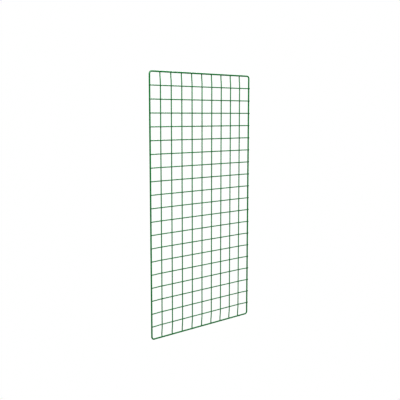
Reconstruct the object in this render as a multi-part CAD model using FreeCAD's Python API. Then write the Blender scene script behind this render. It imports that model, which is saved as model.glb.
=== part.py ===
"""Livestock panel gate: a rigid grid of straight round wires, welded inside a heavier round-wire frame.

The frame is one wire bent round four corners and butt-welded into a ring. The uprights lie behind
the frame and the cross wires lie in front of it. Where they meet in the middle of the panel the two
layers touch, so each mesh wire has a shallow S-bend at each end, which takes it from the grid out
to the face of the frame wire that it is welded to. All diameters are over the green coating.

Frame of reference: millimetres, +Z up, +X across the panel, -Y towards the side of the cross wires.
The origin is midway across the panel, in the frame's own plane, at the underside of the bottom bar.
"""
import FreeCAD, Part

import math
import os

V = FreeCAD.Vector

# Driving dimensions
MESH_PITCH = 50.0      # centre to centre of neighbouring wires, across and up
COLUMNS = 10           # openings across the panel
ROWS = 20              # openings up the panel
FRAME_WIRE = 5.0       # diameter of the frame wire
MESH_WIRE = 3.4        # diameter of the uprights and the cross wires
FRAME_BEND = 10.0      # radius of the frame's corner bends, on the wire's centre line
END_LAP = 1.5          # how far a mesh wire's cut end passes the centre of the frame wire
SEAT_FLAT = 4.0        # straight stretch of a mesh wire from the frame wire's centre to its S-bend
CROSSING_FLAT = 6.0    # straight stretch between the S-bend and the first crossing
END_CHAMFER = 0.35     # rounding of the cut ends under the coating
WELD_GAP = 0.02        # clearance between the round faces of two wires that are welded together

# Derived sizes and places
PANEL_WIDTH = COLUMNS * MESH_PITCH                    # between the centres of the two side bars
PANEL_HEIGHT = ROWS * MESH_PITCH                      # between the centres of bottom and top bars
BOTTOM_BAR_Z = FRAME_WIRE / 2
GRID_OFFSET = (MESH_WIRE + WELD_GAP) / 2              # centre of either mesh layer from the frame plane
SEAT_OFFSET = (FRAME_WIRE + MESH_WIRE) / 2 + WELD_GAP # the same at the wire's ends, on the frame wire
BEND_RUN = MESH_PITCH - SEAT_FLAT - CROSSING_FLAT     # length of one S-bend along the wire
BEND_DEPTH = SEAT_OFFSET - GRID_OFFSET
BEND_ANGLE = 2 * math.atan(BEND_DEPTH / BEND_RUN)     # slope of the wire halfway through its S-bend
BEND_RADIUS = BEND_RUN / (2 * math.sin(BEND_ANGLE))


def cylinder_between(start, end, radius):
    """Round bar from start to end."""
    along = end - start
    return Part.makeCylinder(radius, along.Length, start, along)


def swept_arc(start, direction, centre, axis, degrees, radius):
    """Bent round bar: a disc at start, square to direction, turned about an axis through centre."""
    disc = Part.Face(Part.Wire(Part.makeCircle(radius, start, direction)))
    return disc.revolve(centre, axis, degrees)


def joined(pieces):
    """One solid from bars that meet end to end."""
    whole = pieces[0].multiFuse(pieces[1:]).removeSplitter()
    return whole.Solids[0]


def frame_ring():
    """The outer wire: four straight bars and four corner bends, butt-welded into one ring."""
    half = PANEL_WIDTH / 2
    low = BOTTOM_BAR_Z
    high = low + PANEL_HEIGHT
    radius = FRAME_WIRE / 2
    bars = [
        cylinder_between(V(-half + FRAME_BEND, 0, z), V(half - FRAME_BEND, 0, z), radius)
        for z in (low, high)
    ]
    bars += [
        cylinder_between(V(x, 0, low + FRAME_BEND), V(x, 0, high - FRAME_BEND), radius)
        for x in (-half, half)
    ]
    bends = []
    for x_side in (-1, 1):
        for z, z_side in ((low, -1), (high, 1)):
            centre = V(x_side * (half - FRAME_BEND), 0, z - z_side * FRAME_BEND)
            start = centre + V(x_side * FRAME_BEND, 0, 0)
            turn = -90 * x_side * z_side
            bends.append(swept_arc(start, V(0, 0, 1), centre, V(0, 1, 0), turn, radius))
    return joined(bars + bends)


def s_bend(start, along, outward, radius):
    """One S-bend that leaves start along a direction and comes back by BEND_DEPTH against outward.

    Returns its two arcs and the point where it ends.
    """
    axis = along.cross(outward)
    turn = math.degrees(BEND_ANGLE)
    middle = start + along * (BEND_RUN / 2) - outward * (BEND_DEPTH / 2)
    end = start + along * BEND_RUN - outward * BEND_DEPTH
    first = swept_arc(start, along, start - outward * BEND_RADIUS, axis, -turn, radius)
    second = swept_arc(end, along, end + outward * BEND_RADIUS, axis, -turn, radius)
    assert abs((middle - start).Length - (end - middle).Length) < 1e-6
    return [first, second], end


def mesh_wire(length, along, outward):
    """A mesh wire that spans the two frame bars whose centres are length apart.

    The first bar's centre is at the origin, and the wire lies on the outward side of both bars.
    """
    radius = MESH_WIRE / 2
    seat = outward * SEAT_OFFSET
    foot = seat + along * SEAT_FLAT
    head = seat + along * (length - SEAT_FLAT)
    lower_arcs, grid_start = s_bend(foot, along, outward, radius)
    upper_arcs, grid_end = s_bend(head, -along, outward, radius)
    straights = [
        cylinder_between(seat - along * END_LAP, foot, radius),
        cylinder_between(grid_start, grid_end, radius),
        cylinder_between(head, seat + along * (length + END_LAP), radius),
    ]
    wire = joined(straights + lower_arcs + upper_arcs)
    rims = [
        edge
        for edge in wire.Edges
        if any(abs(edge.CenterOfMass.dot(along) - stop) < 1e-6 for stop in (-END_LAP, length + END_LAP))
    ]
    return wire.makeChamfer(END_CHAMFER, rims)


def uprights():
    """The vertical wires, behind the frame, by node name."""
    wire = mesh_wire(PANEL_HEIGHT, V(0, 0, 1), V(0, 1, 0))
    return {
        f"upright_{n:02d}": wire.translated(V(n * MESH_PITCH - PANEL_WIDTH / 2, 0, BOTTOM_BAR_Z))
        for n in range(1, COLUMNS)
    }


def cross_wires():
    """The horizontal wires, in front of the frame, by node name, numbered from the bottom."""
    wire = mesh_wire(PANEL_WIDTH, V(1, 0, 0), V(0, -1, 0))
    return {
        f"cross_wire_{n:02d}": wire.translated(V(-PANEL_WIDTH / 2, 0, BOTTOM_BAR_Z + n * MESH_PITCH))
        for n in range(1, ROWS)
    }


def main():
    os.makedirs("parts", exist_ok=True)
    nodes = {"frame_ring": frame_ring(), **uprights(), **cross_wires()}
    for name, shape in nodes.items():
        if not shape.isValid() or len(shape.Solids) != 1:
            raise ValueError(f"{name} is not one valid solid")
        shape.exportStep(f"parts/{name}.step")
    print(f"{len(nodes)} nodes, S-bend radius {BEND_RADIUS:.1f} mm, slope {math.degrees(BEND_ANGLE):.2f} deg")


main()
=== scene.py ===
"""Finished looks of the livestock panel gate: coated frame ring, mesh wires, joint webs and a pale studio.

Sizes are metres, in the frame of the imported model: +Z up, +X across the panel, -Y on the side of
the cross wires, with the origin under the middle of the bottom bar.
"""

import math

import bpy
from bpy.props import FloatProperty, FloatVectorProperty, IntProperty, PointerProperty
from mathutils import Matrix, Vector


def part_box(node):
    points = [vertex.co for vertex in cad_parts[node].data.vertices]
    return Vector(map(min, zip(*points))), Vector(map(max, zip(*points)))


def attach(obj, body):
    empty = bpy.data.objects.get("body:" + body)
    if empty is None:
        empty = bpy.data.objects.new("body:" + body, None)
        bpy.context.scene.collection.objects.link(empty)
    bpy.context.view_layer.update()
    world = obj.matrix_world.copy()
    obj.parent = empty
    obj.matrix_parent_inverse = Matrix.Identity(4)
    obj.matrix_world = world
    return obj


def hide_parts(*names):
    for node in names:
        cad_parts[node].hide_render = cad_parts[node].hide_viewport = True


bl_info = {
    "name": "Livestock Panel Gate",
    "version": (1, 0, 0),
    "blender": (4, 5, 0),
    "location": "3D View > Sidebar > Livestock Panel",
    "description": "Builds a coated wire panel gate around its packed frame, with its studio",
    "category": "Add Mesh",
}

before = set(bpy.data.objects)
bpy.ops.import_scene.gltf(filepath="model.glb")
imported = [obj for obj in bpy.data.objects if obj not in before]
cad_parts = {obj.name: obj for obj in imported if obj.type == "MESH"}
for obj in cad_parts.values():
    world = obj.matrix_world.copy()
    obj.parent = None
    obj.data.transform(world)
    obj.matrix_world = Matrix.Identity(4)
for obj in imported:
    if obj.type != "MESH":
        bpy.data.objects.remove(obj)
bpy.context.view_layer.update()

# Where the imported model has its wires
RING_LOW, RING_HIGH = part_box("frame_ring")
FRAME_RADIUS = (RING_HIGH.y - RING_LOW.y) / 2
HALF_WIDTH = RING_HIGH.x - FRAME_RADIUS
BOTTOM_BAR_Z = RING_LOW.z + FRAME_RADIUS
TOP_BAR_Z = RING_HIGH.z - FRAME_RADIUS
MIDDLE_Z = (BOTTOM_BAR_Z + TOP_BAR_Z) / 2
PANEL_HEIGHT = TOP_BAR_Z - BOTTOM_BAR_Z
UPRIGHTS = sorted(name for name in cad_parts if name.startswith("upright_"))
CROSS_WIRES = sorted(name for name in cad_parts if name.startswith("cross_wire_"))
UPRIGHT_LOW, UPRIGHT_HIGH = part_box(UPRIGHTS[0])
WIRE_RADIUS = (UPRIGHT_HIGH.x - UPRIGHT_LOW.x) / 2
PITCH = 2 * HALF_WIDTH / (len(UPRIGHTS) + 1)
END_LAP = BOTTOM_BAR_Z - UPRIGHT_LOW.z
GRID_OFFSET = UPRIGHT_LOW.y + WIRE_RADIUS
SEAT_OFFSET = UPRIGHT_HIGH.y - WIRE_RADIUS
ROOT = "root"

# Mesh of the wires
TIP_RINGS = 6                   # rings over each rounded tip of a mesh wire
BEND_POINTS = 24                # points round each corner bend of the ring
TINY = 1e-6                     # merges a closed tip, and keeps a division clear of zero

# Unevenness of the coating and of the wires
WIRE_RIPPLE_SPACING = 0.011     # length of one swell in a mesh wire's coating
RING_RIPPLE_SPACING = 0.013     # the same on the ring
WANDER_SPACING = 0.16           # length of one stray of a mesh wire from its straight line
WANDER_SEED = 50.0              # added to a wire's seed, so that it doesn't stray as it swells
RING_SEED = 3.0
CROSS_WIRE_SEED = 100           # added to a cross wire's number; an upright's seed is its number

# Joints under the coating
SHOULDER_PLACE = 0.0019         # from the ring's butt weld to the middle of the shoulder beside it
SHOULDER_HALF = 0.0011          # half the width of a shoulder
ON_BAR = 0.1                    # share of the bend radius within which a place counts as on a bar
JOINT_REACH = 0.0045            # how far the coating pools along the ring from a mesh wire, darker there as thick coat and as painted shade
WEB_POOL_AND_SHADE = 0.9                  # how far a web is darkened, as pooled coating and as painted shade in its crook, from 0 to 1

# Fineness of the coating's noise, in features to the metre
TONE_SCALE = 14.0
FLECK_SCALE = 260.0
SWIM_SCALE = 420.0
STREAK_SCALE = 900.0
PEEL_SCALE = 1700.0
DRAWN_OUT = 0.06                # scale of the streaks along a mesh wire, against 1 across it

# Studio: where each softbox stands, its width and its height
KEY_SOFTBOX = ((-1.3, -2.5, 3.0), 2.2, 1.7)
SIDE_SOFTBOX = ((-2.2, -0.7, 1.1), 0.45, 1.8)
BACK_SOFTBOX = ((0.9, 1.9, 1.9), 1.3, 1.0)

FLOOR_REACH = 60.0              # from the middle of the floor to its edges
FLOOR_GREY = (0.50, 0.50, 0.50, 1.0)
WHITE = (1.0, 1.0, 1.0, 1.0)


def length(name, description, default):
    """A property that holds a length in metres."""
    return FloatProperty(name=name, description=description, default=default, min=0.0,
                         precision=5, subtype="DISTANCE", unit="LENGTH")


def colour(name, description, default):
    """A property that holds a linear colour."""
    return FloatVectorProperty(name=name, description=description, default=default, size=3,
                               min=0.0, max=1.0, subtype="COLOR")


class FrameRingSettings(bpy.types.PropertyGroup):
    """Shape of the outer wire."""

    bend_radius: length("Bend Radius", "Radius of the corner bends on the wire's centre line", 0.010)
    seam_place: length("Seam Place", "Distance of the butt weld from the middle of the bottom bar", 0.025)
    seam_groove: length("Seam Groove", "Depth of the dressed shoulders beside the butt weld", 0.00014)
    ripple: length("Ripple", "How much the coating's thickness wanders", 0.00004)
    ring_step: length("Ring Step", "Spacing of the mesh rings along the wire", 0.00125)
    sides: IntProperty(name="Sides", description="Faces round the wire", default=24, min=6)


class MeshWireSettings(bpy.types.PropertyGroup):
    """Shape of the uprights and the cross wires."""

    seat_flat: length("Seat Flat", "Straight stretch on the frame wire before the S-bend", 0.004)
    crossing_flat: length("Crossing Flat", "Straight stretch from the S-bend to the first crossing", 0.006)
    tip_round: length("Tip Round", "Length of the rounded coating over a cut end", 0.0011)
    swell: length("Swell", "How much the coating thickens where two wires cross", 0.00016)
    swell_reach: length("Swell Reach", "How far that thickening runs from the crossing", 0.0042)
    ripple: length("Ripple", "How much the coating's thickness wanders", 0.00005)
    wander: length("Wander", "How far a wire strays sideways from a straight line", 0.00020)
    ring_step: length("Ring Step", "Spacing of the mesh rings along the wire", 0.00125)
    sides: IntProperty(name="Sides", description="Faces round the wire", default=16, min=6)


class WebSettings(bpy.types.PropertyGroup):
    """Shape of the welds under the coating, where two wires touch."""

    reach: length("Reach", "Half width of the web in the plane of the panel", 0.00185)
    depth: length("Depth", "Half thickness of the web between the two wires", 0.0010)
    seat_reach: length("Seat Reach", "Half width of the web where a wire's end sits on the frame", 0.00190)
    variation: FloatProperty(name="Variation", description="Share by which the webs differ in size",
                             default=0.10, min=0.0, max=0.5, subtype="FACTOR")
    seed: IntProperty(name="Seed", description="Picks the sizes of the webs", default=7, min=0)


class CoatingSettings(bpy.types.PropertyGroup):
    """Finish of the green plastic coating."""

    green: colour("Green", "Main colour of the coating", (0.0110, 0.1950, 0.0500))
    # Deep Green darkens random tone and streaks, and round the joints it stands partly for thick pooled coat
    # and partly for painted shade in the crooks.
    deep_green: colour("Deep Green", "Colour where the coating is thick", (0.0060, 0.1380, 0.0330))
    # The next two settings paint a highlight: a pale grey-green on faces that look up, standing in for the
    # glint of the overhead light.
    painted_sheen_colour: colour("Painted Sheen Colour", "Pale haze on faces that look up", (0.3300, 0.3900, 0.3500))
    painted_sheen: FloatProperty(name="Painted Sheen", description="Strength of the haze on faces that look up",
                        default=0.40, min=0.0, max=1.0, subtype="FACTOR")
    roughness: FloatProperty(name="Roughness", description="Mean roughness of the satin surface",
                             default=0.31, min=0.0, max=1.0, subtype="FACTOR")
    peel: length("Orange Peel", "Depth of the fine texture left by the coating bath", 0.00010)


class StageSettings(bpy.types.PropertyGroup):
    """Camera, floor and lights."""

    camera_place: FloatVectorProperty(name="Camera Place", description="Where the camera stands", size=3,
                                      default=(-1.6101, -1.8853, 0.8421), subtype="XYZ", unit="LENGTH")
    camera_turn: FloatProperty(name="Camera Turn", description="Heading of the camera, clockwise from +Y",
                               default=math.radians(40.29), subtype="ANGLE", unit="ROTATION")
    camera_dip: FloatProperty(name="Camera Dip", description="How far the camera looks down",
                              default=math.radians(7.01), subtype="ANGLE", unit="ROTATION")
    lens: FloatProperty(name="Lens", description="Focal length on a 36 mm sensor, in millimetres",
                        default=57.19, min=1.0)
    rise: FloatProperty(name="Rise", description="Upward shift of the picture, as a share of its width",
                        default=-0.015)
    key_power: FloatProperty(name="Key Power", description="Power of the large softbox in front",
                             default=238.0, min=0.0, subtype="POWER", unit="POWER")
    side_power: FloatProperty(name="Side Power", description="Power of the tall softbox at the side",
                              default=5.0, min=0.0, subtype="POWER", unit="POWER")
    back_power: FloatProperty(name="Back Power", description="Power of the softbox behind the panel",
                              default=40.0, min=0.0, subtype="POWER", unit="POWER")
    surround: FloatProperty(name="Surround", description="Strength of the even light all round",
                            default=0.26, min=0.0)
    gamma: FloatProperty(name="Gamma", description="Gamma of the developed picture; white stays white",
                         default=0.60, min=0.1)


class PanelSettings(bpy.types.PropertyGroup):
    """Everything that can be set on the panel."""

    ring: PointerProperty(type=FrameRingSettings, name="Frame Ring", description="Shape of the outer wire")
    wires: PointerProperty(type=MeshWireSettings, name="Mesh Wires", description="Shape of the grid's wires")
    webs: PointerProperty(type=WebSettings, name="Webs", description="Shape of the welds under the coating")
    coating: PointerProperty(type=CoatingSettings, name="Coating", description="Finish of the wires")
    stage: PointerProperty(type=StageSettings, name="Stage", description="Camera, floor and lights")


# Node helpers


class Field:
    """A number in a node tree. Ordinary arithmetic on it adds Math nodes."""

    def __init__(self, tree, socket):
        self.tree = tree
        self.socket = socket

    def math(self, operation, *others):
        node = self.tree.nodes.new("ShaderNodeMath")
        node.operation = operation
        for slot, value in zip(node.inputs, (self, *others)):
            if isinstance(value, Field):
                self.tree.links.new(value.socket, slot)
            else:
                slot.default_value = value
        return Field(self.tree, node.outputs[0])

    def __add__(self, other):
        return self.math("ADD", other)

    def __sub__(self, other):
        return self.math("SUBTRACT", other)

    def __mul__(self, other):
        return self.math("MULTIPLY", other)

    def __truediv__(self, other):
        return self.math("DIVIDE", other)

    def least(self, other):
        return self.math("MINIMUM", other)

    def most(self, other):
        return self.math("MAXIMUM", other)

    def size(self):
        return self.math("ABSOLUTE")

    def below(self, other):
        return self.math("LESS_THAN", other)

    def between(self, low, high):
        return self.most(low).least(high)

    def eased(self):
        """A share from 0 to 1, levelled off at both ends."""
        return self * self * (self * -2.0 + 3.0)

    def fading(self, reach):
        """1 where this distance is nothing, down to 0 at reach and beyond."""
        return (self / reach * -1.0 + 1.0).most(0.0)

    def to_nearest(self, spacing):
        """Distance to the nearest multiple of a spacing."""
        return (self - (self / spacing).math("ROUND") * spacing).size()


def add_node(tree, kind, links=None, **settings):
    """A new node with its sockets linked or set, by name or index, and its properties set."""
    node = tree.nodes.new(kind)
    for name, value in settings.items():
        setattr(node, name, value)
    for key, value in (links or {}).items():
        slot = node.inputs[key]
        if isinstance(value, Field):
            tree.links.new(value.socket, slot)
        elif isinstance(value, bpy.types.NodeSocket):
            tree.links.new(value, slot)
        else:
            slot.default_value = value
    return node


def new_tree(name, inputs):
    """A geometry tree with named inputs, given as name to socket kind.

    Returns the tree, its input sockets and numbers by name, and the identifiers of those inputs.
    """
    tree = bpy.data.node_groups.new(name, "GeometryNodeTree")
    tree.is_modifier = True
    tree.interface.new_socket("Geometry", in_out="OUTPUT", socket_type="NodeSocketGeometry")
    identifiers = {
        label: tree.interface.new_socket(label, in_out="INPUT", socket_type="NodeSocket" + kind).identifier
        for label, kind in inputs.items()
    }
    entry = tree.nodes.new("NodeGroupInput")
    given = {
        label: entry.outputs[label] if kind == "Material" else Field(tree, entry.outputs[label])
        for label, kind in inputs.items()
    }
    return tree, given, identifiers


def close_tree(tree, geometry, material):
    """Ends a tree in smooth shading, Realize Instances and Set Material."""
    smooth = add_node(tree, "GeometryNodeSetShadeSmooth", {"Geometry": geometry})
    real = add_node(tree, "GeometryNodeRealizeInstances", {"Geometry": smooth.outputs[0]})
    painted = add_node(tree, "GeometryNodeSetMaterial", {"Geometry": real.outputs[0], "Material": material})
    exit_node = tree.nodes.new("NodeGroupOutput")
    tree.links.new(painted.outputs[0], exit_node.inputs[0])


def wandering(tree, place, seed, spacing):
    """Smooth noise from -1 to 1 along a wire, with features of a given spacing."""
    where = add_node(tree, "ShaderNodeCombineXYZ", {"Z": place / spacing})
    noise = add_node(
        tree, "ShaderNodeTexNoise",
        {"Vector": where.outputs[0], "W": seed, "Scale": 1.0, "Detail": 1.0, "Roughness": 0.4},
        noise_dimensions="4D",
    )
    return ((Field(tree, noise.outputs[0]) - 0.5) * 3.0).between(-1.0, 1.0)


def position(tree):
    """Where each point lies, as its numbers along X, Y and Z."""
    place = add_node(tree, "GeometryNodeInputPosition").outputs[0]
    parts = add_node(tree, "ShaderNodeSeparateXYZ", {0: place})
    return [Field(tree, parts.outputs[axis]) for axis in "XYZ"]


def store_pool_and_shade(tree, geometry, value):
    """Keeps how thick the coating has pooled on every point, for the coating's material to read as darker
    colour: partly thick pooled coat, partly painted shade in the crooks where wires meet.
    """
    node = add_node(
        tree, "GeometryNodeStoreNamedAttribute",
        {"Geometry": geometry, "Name": "coat_pool_and_shade", "Value": value},
        data_type="FLOAT", domain="POINT",
    )
    return node.outputs[0]


def tube(tree, curve, radius, sides):
    """A round skin along a curve, closed at any end where the radius runs out."""
    profile = add_node(tree, "GeometryNodeCurvePrimitiveCircle", {"Resolution": sides, "Radius": 1.0})
    skin = add_node(
        tree, "GeometryNodeCurveToMesh",
        {"Curve": curve, "Profile Curve": profile.outputs[0], "Scale": radius, "Fill Caps": False},
    )
    merged = add_node(tree, "GeometryNodeMergeByDistance", {"Geometry": skin.outputs[0], "Distance": TINY})
    return merged.outputs[0]


def grown(name, tree, identifiers, values):
    """The plain mesh that a tree makes from its inputs, as an object with nothing left on it."""
    piece = bpy.data.objects.new(name, bpy.data.meshes.new(name))
    bpy.context.scene.collection.objects.link(piece)
    modifier = piece.modifiers.new(tree.name, "NODES")
    modifier.node_group = tree
    for label, identifier in identifiers.items():
        modifier[identifier] = values[label]
    graph = bpy.context.evaluated_depsgraph_get()
    mesh = bpy.data.meshes.new_from_object(piece.evaluated_get(graph), preserve_all_data_layers=True,
                                           depsgraph=graph)
    piece.modifiers.clear()
    if not mesh.polygons:
        raise RuntimeError(f"{name} came out empty")
    mesh.name = name
    piece.data = mesh
    return piece


# Trees


def mesh_wire_tree():
    """One mesh wire along Z from the first frame bar, lying on the +Y side of both bars."""
    tree, given, identifiers = new_tree("Coated mesh wire", {
        "Span": "Float", "Wire Radius": "Float", "Seat Offset": "Float", "Grid Offset": "Float",
        "Seat Flat": "Float", "Crossing Flat": "Float", "Pitch": "Float", "End Lap": "Float",
        "Tip Round": "Float", "Swell": "Float", "Swell Reach": "Float", "Ripple": "Float",
        "Wander": "Float", "Seed": "Float", "Rings": "Int", "Sides": "Int", "Coating": "Material",
    })
    line = add_node(tree, "GeometryNodeCurvePrimitiveLine")
    points = add_node(tree, "GeometryNodeResampleCurve", {"Curve": line.outputs[0], "Count": given["Rings"]})

    # Rings are close together over the rounded tips and even between them
    index = Field(tree, add_node(tree, "GeometryNodeInputIndex").outputs[0])
    last = given["Rings"] - 1.0
    from_tip = index.least(last - index)
    whole = given["Span"] + given["End Lap"] * 2.0
    step = (whole - given["Tip Round"] * 2.0) / (last - TIP_RINGS * 2.0)
    turn = (from_tip / TIP_RINGS).least(1.0) * (math.pi / 2)
    in_tip = given["Tip Round"] * (turn.math("COSINE") * -1.0 + 1.0)
    run = in_tip + (from_tip - TIP_RINGS).most(0.0) * step
    far_half = (last / 2.0).below(index)
    along = run + far_half * (whole - run * 2.0) - given["End Lap"]
    round_off = turn.math("SINE")

    # The S-bend between the seat on the frame wire and the plane of the grid
    from_bar = along.least(given["Span"] - along)
    bend_run = given["Pitch"] - given["Seat Flat"] - given["Crossing Flat"]
    share = ((from_bar - given["Seat Flat"]) / bend_run).between(0.0, 1.0)
    near = share.least(share * -1.0 + 1.0)
    near = near * near * 2.0
    past_middle = share.math("GREATER_THAN", 0.5)
    drop = near + past_middle * (near * -2.0 + 1.0)
    outward = given["Seat Offset"] + drop * (given["Grid Offset"] - given["Seat Offset"])

    # Thickness of the coating
    to_crossing = along.to_nearest(given["Pitch"])
    inside = from_bar.math("GREATER_THAN", given["Pitch"] * 0.5)
    pool_and_shade = to_crossing.fading(given["Swell Reach"]).eased() * inside
    ripple = wandering(tree, along, given["Seed"], WIRE_RIPPLE_SPACING) * given["Ripple"]
    radius = (given["Wire Radius"] - given["Ripple"] + ripple + pool_and_shade * given["Swell"]) * round_off
    sideways = wandering(tree, along, given["Seed"] + WANDER_SEED, WANDER_SPACING) * given["Wander"]

    place = add_node(tree, "ShaderNodeCombineXYZ", {"X": sideways, "Y": outward, "Z": along})
    bent = add_node(tree, "GeometryNodeSetPosition",
                    {"Geometry": points.outputs[0], "Position": place.outputs[0]})
    # The pooled share is kept for the material, which darkens the coat there: partly thick pooled coat,
    # partly painted shade in the crooks at crossings and on the frame.
    seat_pool_and_shade = from_bar.size().fading(given["Swell Reach"])
    curve = store_pool_and_shade(tree, bent.outputs[0], pool_and_shade.most(seat_pool_and_shade))
    close_tree(tree, tube(tree, curve, radius, given["Sides"]), given["Coating"])
    return tree, identifiers


def frame_ring_tree():
    """The outer wire, standing in the XZ plane about its own middle."""
    tree, given, identifiers = new_tree("Coated frame ring", {
        "Width": "Float", "Height": "Float", "Wire Radius": "Float", "Bend Radius": "Float",
        "Pitch": "Float", "Seam Place": "Float", "Seam Groove": "Float", "Ripple": "Float",
        "Seed": "Float", "Rings": "Int", "Sides": "Int", "Coating": "Material",
    })
    outline = add_node(tree, "GeometryNodeCurvePrimitiveQuadrilateral",
                       {"Width": given["Width"], "Height": given["Height"]})
    bends = add_node(
        tree, "GeometryNodeFilletCurve",
        {"Curve": outline.outputs[0], "Count": BEND_POINTS, "Radius": given["Bend Radius"]},
        mode="POLY",
    )
    even = add_node(tree, "GeometryNodeResampleCurve", {"Curve": bends.outputs[0], "Count": given["Rings"]})
    upright = add_node(tree, "GeometryNodeTransform",
                       {"Geometry": even.outputs[0], "Rotation": (math.pi / 2, 0.0, 0.0)})
    x, _, z = position(tree)

    # The ring's butt weld, dressed flush between two shallow shoulders
    from_seam = (x - given["Seam Place"]).size()
    shoulder = (from_seam - SHOULDER_PLACE).size().fading(SHOULDER_HALF)
    on_bottom = z.below(given["Height"] * -0.5 + given["Bend Radius"] * ON_BAR)
    groove = shoulder.eased() * on_bottom * given["Seam Groove"]

    # Thickness of the coating, by a number that changes along every bar
    travel = x + z * 1.7
    ripple = wandering(tree, travel, given["Seed"], RING_RIPPLE_SPACING) * given["Ripple"]
    radius = given["Wire Radius"] - given["Ripple"] + ripple - groove

    # Nearness to a mesh wire is kept for the material, which darkens the ring there: partly pooled coat,
    # partly painted shade where the wires meet it.
    on_side = (given["Width"] * 0.5 - given["Bend Radius"] * ON_BAR).below(x.size())
    to_upright = (x + given["Width"] * 0.5).to_nearest(given["Pitch"])
    to_cross = (z + given["Height"] * 0.5).to_nearest(given["Pitch"])
    to_joint = to_upright + on_side * (to_cross - to_upright)
    curve = store_pool_and_shade(tree, upright.outputs[0], to_joint.fading(JOINT_REACH))
    close_tree(tree, tube(tree, curve, radius, given["Sides"]), given["Coating"])
    return tree, identifiers


def web_tree():
    """A grid of small rounded webs in the XZ plane, one at each place where two wires touch."""
    tree, given, identifiers = new_tree("Coating webs", {
        "Columns": "Int", "Rows": "Int", "Width": "Float", "Height": "Float", "Reach": "Float",
        "Depth": "Float", "Variation": "Float", "Seed": "Int", "Coating": "Material",
    })
    grid = add_node(tree, "GeometryNodeMeshGrid", {
        "Size X": given["Width"], "Size Y": given["Height"],
        "Vertices X": given["Columns"], "Vertices Y": given["Rows"],
    })
    standing = add_node(tree, "GeometryNodeTransform",
                        {"Geometry": grid.outputs[0], "Rotation": (math.pi / 2, 0.0, 0.0)})
    ball = add_node(tree, "GeometryNodeMeshIcoSphere", {"Radius": 1.0, "Subdivisions": 2})
    x, y, z = position(tree)

    # Square with round corners, so that it fills the four crooks and hides behind the wires elsewhere
    square_of = (x * x + z * z).most(TINY)
    corner = ((x * x * x * x + z * z * z * z) / (square_of * square_of)).math("POWER", -0.25)
    squared = add_node(tree, "ShaderNodeCombineXYZ", {"X": x * corner, "Y": y, "Z": z * corner})
    pebble = add_node(tree, "GeometryNodeSetPosition",
                      {"Geometry": ball.outputs[0], "Position": squared.outputs[0]})
    least = given["Variation"] * -1.0 + 1.0
    chance = add_node(tree, "FunctionNodeRandomValue",
                      {2: least, 3: given["Variation"] + 1.0, "Seed": given["Seed"]}, data_type="FLOAT")
    size = Field(tree, chance.outputs[1])
    shape = add_node(tree, "ShaderNodeCombineXYZ",
                     {"X": size * given["Reach"], "Y": size * given["Depth"], "Z": size * given["Reach"]})
    webs = add_node(tree, "GeometryNodeInstanceOnPoints", {
        "Points": standing.outputs[0], "Instance": pebble.outputs[0], "Scale": shape.outputs[0],
    })
    whole = add_node(tree, "GeometryNodeRealizeInstances", {"Geometry": webs.outputs[0]})
    # Each web is kept as pooled, so the material darkens it: partly thick coat, partly painted shade in its
    # crook.
    close_tree(tree, store_pool_and_shade(tree, whole.outputs[0], WEB_POOL_AND_SHADE), given["Coating"])
    return tree, identifiers


# Materials


def rgba(value):
    """A colour with its alpha, or the socket that gives one."""
    return value if isinstance(value, bpy.types.NodeSocket) else (*value, 1.0)


def mixed(tree, share, first, second):
    """A colour between two, each a colour or a socket."""
    ends = {0: share, 6: rgba(first), 7: rgba(second)}
    return add_node(tree, "ShaderNodeMix", ends, data_type="RGBA").outputs[2]


def noise(tree, place, scale, detail, roughness=0.5):
    """Noise from 0 to 1, with so many features to the metre."""
    node = add_node(tree, "ShaderNodeTexNoise",
                    {"Vector": place, "Scale": scale, "Detail": detail, "Roughness": roughness})
    return Field(tree, node.outputs[0])


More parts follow.
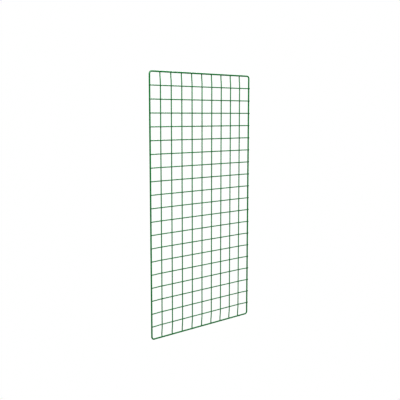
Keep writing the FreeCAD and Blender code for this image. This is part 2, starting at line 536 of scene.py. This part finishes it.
def green_coating(name, coating, drawn_along):
    """Satin green plastic over wire.

    It drifts in tone over a hand's width, carries faint streaks drawn out along the wire, pools darker and
    smoother round the welds, where the darkening is partly thick coat and partly painted shade in the
    crooks, has a fine orange peel, and carries a painted highlight: pale grey-green on faces that look up,
    where the overhead light would glint.
    drawn_along scales the streaks on each axis: under 1 draws them out along it.
    """
    material = bpy.data.materials.new(name)
    material.use_nodes = True
    tree = material.node_tree
    shader = tree.nodes["Principled BSDF"]
    place = add_node(tree, "ShaderNodeTexCoord").outputs["Object"]
    streaky = add_node(tree, "ShaderNodeMapping", {"Vector": place, "Scale": drawn_along}).outputs[0]
    pool_and_shade = Field(tree, add_node(tree, "ShaderNodeAttribute", attribute_name="coat_pool_and_shade").outputs["Fac"])
    normal = add_node(tree, "ShaderNodeNewGeometry").outputs["Normal"]
    looks = add_node(tree, "ShaderNodeSeparateXYZ", {0: normal})
    up = Field(tree, looks.outputs["Z"]).between(0.0, 1.0)

    drift = ((noise(tree, place, TONE_SCALE, 3.0) - 0.5) * 2.6 + 0.5).between(0.0, 1.0)
    streak = noise(tree, streaky, STREAK_SCALE, 3.0, 0.6)
    fleck = noise(tree, place, FLECK_SCALE, 4.0, 0.65)
    # Darker with random drift and streaks, and round the joints, where the darkening is partly thick pooled
    # coat and partly painted shade in the crooks.
    depth = (drift * 0.45 + pool_and_shade * 0.55 + (streak - 0.5) * 0.5).between(0.0, 1.0)
    body = mixed(tree, depth, coating.green, coating.deep_green)
    # Painted highlight: a pale grey-green mixed into faces that look up, weaker where the coat pools,
    # standing in for the glint of the overhead light.
    open_face = pool_and_shade * -0.65 + 1.0
    painted_sheen = (up * up * (fleck * 1.4 + 0.3) * open_face * coating.painted_sheen).between(0.0, 1.0)
    tree.links.new(mixed(tree, painted_sheen, body, coating.painted_sheen_colour), shader.inputs["Base Color"])

    gloss = (streak - 0.5) * 0.22 + (fleck - 0.5) * 0.16 - pool_and_shade * 0.07 + painted_sheen * 0.5 + coating.roughness
    tree.links.new(gloss.between(0.18, 0.75).socket, shader.inputs["Roughness"])
    shader.inputs["IOR"].default_value = 1.47

    peel = noise(tree, place, PEEL_SCALE, 1.0, 0.4)
    swim = noise(tree, place, SWIM_SCALE, 1.0, 0.4)
    height = peel * 0.45 + swim * 0.9 + streak * 0.25
    bump = add_node(tree, "ShaderNodeBump", {"Height": height, "Strength": 1.0, "Distance": coating.peel})
    tree.links.new(bump.outputs[0], shader.inputs["Normal"])
    return material


# Operators


def ready(piece, nodes):
    """Puts a finished piece on the panel's body and hides the parts of the imported model that it stands
    for.
    """
    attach(piece, ROOT)
    if nodes:
        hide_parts(*nodes)


def mesh_wire_values(wires, span, seed, material):
    """What the tree is given for one mesh wire that spans so much from bar to bar."""
    whole = span + 2 * END_LAP
    return {
        "Span": span, "Wire Radius": WIRE_RADIUS, "Seat Offset": SEAT_OFFSET, "Grid Offset": GRID_OFFSET,
        "Seat Flat": wires.seat_flat, "Crossing Flat": wires.crossing_flat, "Pitch": PITCH,
        "End Lap": END_LAP, "Tip Round": wires.tip_round, "Swell": wires.swell,
        "Swell Reach": wires.swell_reach, "Ripple": wires.ripple, "Wander": wires.wander,
        "Seed": float(seed), "Rings": round(whole / wires.ring_step) + 2 * TIP_RINGS, "Sides": wires.sides,
        "Coating": material,
    }


class MakeFrameRing(bpy.types.Operator):
    """Make the frame ring, one bent wire with its butt weld under the coating"""

    bl_idname = "livestock_panel.frame_ring"
    bl_label = "Make Frame Ring"

    def execute(self, context):
        settings = context.scene.livestock_panel
        ring = settings.ring
        material = green_coating("frame_coating", settings.coating, (1.0, 1.0, 1.0))
        tree, identifiers = frame_ring_tree()
        around = 4 * HALF_WIDTH + 2 * PANEL_HEIGHT - (8 - 2 * math.pi) * ring.bend_radius
        piece = grown("coated_frame_ring", tree, identifiers, {
            "Width": 2 * HALF_WIDTH, "Height": PANEL_HEIGHT, "Wire Radius": FRAME_RADIUS,
            "Bend Radius": ring.bend_radius, "Pitch": PITCH, "Seam Place": ring.seam_place,
            "Seam Groove": ring.seam_groove, "Ripple": ring.ripple, "Seed": RING_SEED,
            "Rings": round(around / ring.ring_step), "Sides": ring.sides, "Coating": material,
        })
        piece.data.transform(Matrix.Translation((0.0, 0.0, MIDDLE_Z)))
        ready(piece, ["frame_ring"])
        return {"FINISHED"}


class MakeUprights(bpy.types.Operator):
    """Make the vertical wires, behind the frame"""

    bl_idname = "livestock_panel.uprights"
    bl_label = "Make Uprights"

    def execute(self, context):
        settings = context.scene.livestock_panel
        material = green_coating("upright_coating", settings.coating, (1.0, 1.0, DRAWN_OUT))
        tree, identifiers = mesh_wire_tree()
        for number, node in enumerate(UPRIGHTS, 1):
            low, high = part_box(node)
            values = mesh_wire_values(settings.wires, PANEL_HEIGHT, number, material)
            piece = grown(f"coated_{node}", tree, identifiers, values)
            piece.data.transform(Matrix.Translation(((low.x + high.x) / 2, 0.0, BOTTOM_BAR_Z)))
            ready(piece, [node])
        return {"FINISHED"}


class MakeCrossWires(bpy.types.Operator):
    """Make the horizontal wires, in front of the frame"""

    bl_idname = "livestock_panel.cross_wires"
    bl_label = "Make Cross Wires"

    def execute(self, context):
        settings = context.scene.livestock_panel
        material = green_coating("cross_wire_coating", settings.coating, (DRAWN_OUT, 1.0, 1.0))
        tree, identifiers = mesh_wire_tree()
        # Turns +Z along the wire into +X across the panel, and its +Y side to the front
        lie_down = Matrix(((0, 0, 1, 0), (0, -1, 0, 0), (1, 0, 0, 0), (0, 0, 0, 1)))
        for number, node in enumerate(CROSS_WIRES, 1):
            low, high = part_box(node)
            seed = CROSS_WIRE_SEED + number
            values = mesh_wire_values(settings.wires, 2 * HALF_WIDTH, seed, material)
            piece = grown(f"coated_{node}", tree, identifiers, values)
            place = Matrix.Translation((-HALF_WIDTH, 0.0, (low.z + high.z) / 2))
            piece.data.transform(place @ lie_down)
            ready(piece, [node])
        return {"FINISHED"}


class MakeWebs(bpy.types.Operator):
    """Make the coated welds in the crooks between the wires, at the crossings and on the frame"""

    bl_idname = "livestock_panel.webs"
    bl_label = "Make Webs"

    def execute(self, context):
        settings = context.scene.livestock_panel
        webs = settings.webs
        material = green_coating("weld_coating", settings.coating, (1.0, 1.0, 1.0))
        tree, identifiers = web_tree()
        columns, rows = len(UPRIGHTS), len(CROSS_WIRES)
        across, up = (columns - 1) * PITCH, (rows - 1) * PITCH
        layouts = (
            ("crossing_webs", columns, rows, across, up, 0.0, webs.reach),
            ("upright_seat_webs", columns, 2, across, PANEL_HEIGHT, FRAME_RADIUS, webs.seat_reach),
            ("cross_wire_seat_webs", 2, rows, 2 * HALF_WIDTH, up, -FRAME_RADIUS, webs.seat_reach),
        )
        for turn, (name, count_x, count_z, width, height, depth_place, reach) in enumerate(layouts):
            piece = grown(name, tree, identifiers, {
                "Columns": count_x, "Rows": count_z, "Width": width, "Height": height, "Reach": reach,
                "Depth": webs.depth, "Variation": webs.variation, "Seed": webs.seed + turn,
                "Coating": material,
            })
            piece.data.transform(Matrix.Translation((0.0, depth_place, MIDDLE_Z)))
            ready(piece, [])
        return {"FINISHED"}


def softbox(name, place, width, height, target, power):
    """A rectangular white light that faces a point."""
    light = bpy.data.lights.new(name, "AREA")
    light.shape = "RECTANGLE"
    light.size = width
    light.size_y = height
    light.energy = power
    lamp = bpy.data.objects.new(name, light)
    lamp.location = place
    lamp.rotation_euler = (Vector(target) - Vector(place)).to_track_quat("-Z", "Y").to_euler()
    bpy.context.scene.collection.objects.link(lamp)


def pale_floor():
    """Floor that is plain white to the camera and mid grey to the light that falls on it."""
    material = bpy.data.materials.new("pale_floor")
    material.use_nodes = True
    tree = material.node_tree
    shader = tree.nodes["Principled BSDF"]
    shader.inputs["Base Color"].default_value = FLOOR_GREY
    shader.inputs["Roughness"].default_value = 0.9
    glow = add_node(tree, "ShaderNodeEmission", {"Color": WHITE, "Strength": 1.0})
    seen = add_node(tree, "ShaderNodeLightPath").outputs["Is Camera Ray"]
    blend = add_node(tree, "ShaderNodeMixShader", {0: seen, 1: shader.outputs[0], 2: glow.outputs[0]})
    tree.links.new(blend.outputs[0], tree.nodes["Material Output"].inputs[0])
    mesh = bpy.data.meshes.new("floor")
    corners = [(x * FLOOR_REACH, y * FLOOR_REACH, 0) for x, y in ((-1, -1), (1, -1), (1, 1), (-1, 1))]
    mesh.from_pydata(corners, [], [(0, 1, 2, 3)])
    mesh.materials.append(material)
    floor = bpy.data.objects.new("floor", mesh)
    bpy.context.scene.collection.objects.link(floor)


def white_surround(strength):
    """White all round for the camera, and an even soft light for everything else."""
    world = bpy.data.worlds.new("studio")
    world.use_nodes = True
    tree = world.node_tree
    backing = tree.nodes["Background"]
    backing.inputs["Color"].default_value = WHITE
    seen = Field(tree, add_node(tree, "ShaderNodeLightPath").outputs["Is Camera Ray"])
    tree.links.new((seen * (1.0 - strength) + strength).socket, backing.inputs["Strength"])
    bpy.context.scene.world = world


class SetStage(bpy.types.Operator):
    """Set the floor, the lights and the camera"""

    bl_idname = "livestock_panel.stage"
    bl_label = "Set Stage"

    def execute(self, context):
        stage = context.scene.livestock_panel.stage
        middle = (0.0, 0.0, MIDDLE_Z)
        pale_floor()
        white_surround(stage.surround)
        softbox("key_softbox", *KEY_SOFTBOX, middle, stage.key_power)
        softbox("side_softbox", *SIDE_SOFTBOX, middle, stage.side_power)
        softbox("back_softbox", *BACK_SOFTBOX, middle, stage.back_power)

        lens = bpy.data.cameras.new("camera")
        lens.sensor_width = 36.0
        lens.lens = stage.lens
        lens.shift_y = stage.rise
        lens.clip_start, lens.clip_end = 0.01, 200.0
        camera = bpy.data.objects.new("camera", lens)
        camera.location = stage.camera_place
        camera.rotation_euler = (math.pi / 2 - stage.camera_dip, 0.0, -stage.camera_turn)
        context.scene.collection.objects.link(camera)
        context.scene.camera = camera
        context.scene.view_settings.view_transform = "Standard"
        context.scene.view_settings.gamma = stage.gamma
        return {"FINISHED"}


class PanelSidebar(bpy.types.Panel):
    """The panel gate's operators and settings"""

    bl_idname = "VIEW3D_PT_livestock_panel"
    bl_label = "Livestock Panel Gate"
    bl_space_type = "VIEW_3D"
    bl_region_type = "UI"
    bl_category = "Livestock Panel"

    def draw(self, context):
        settings = context.scene.livestock_panel
        for maker in MAKERS:
            self.layout.operator(maker.bl_idname)
        for title in ("ring", "wires", "webs", "coating", "stage"):
            group = getattr(settings, title)
            box = self.layout.box()
            box.label(text=PanelSettings.bl_rna.properties[title].name)
            for prop in type(group).__annotations__:
                box.prop(group, prop)


GROUPS = (FrameRingSettings, MeshWireSettings, WebSettings, CoatingSettings, StageSettings, PanelSettings)
MAKERS = (MakeFrameRing, MakeUprights, MakeCrossWires, MakeWebs, SetStage)


def register():
    for group in (*GROUPS, *MAKERS, PanelSidebar):
        bpy.utils.register_class(group)
    bpy.types.Scene.livestock_panel = PointerProperty(type=PanelSettings)


def unregister():
    del bpy.types.Scene.livestock_panel
    for group in reversed((*GROUPS, *MAKERS, PanelSidebar)):
        bpy.utils.unregister_class(group)


def main():
    register()
    bpy.ops.livestock_panel.frame_ring()
    bpy.ops.livestock_panel.uprights()
    bpy.ops.livestock_panel.cross_wires()
    bpy.ops.livestock_panel.webs()
    bpy.ops.livestock_panel.stage()


if __name__ == "__main__":
    main()
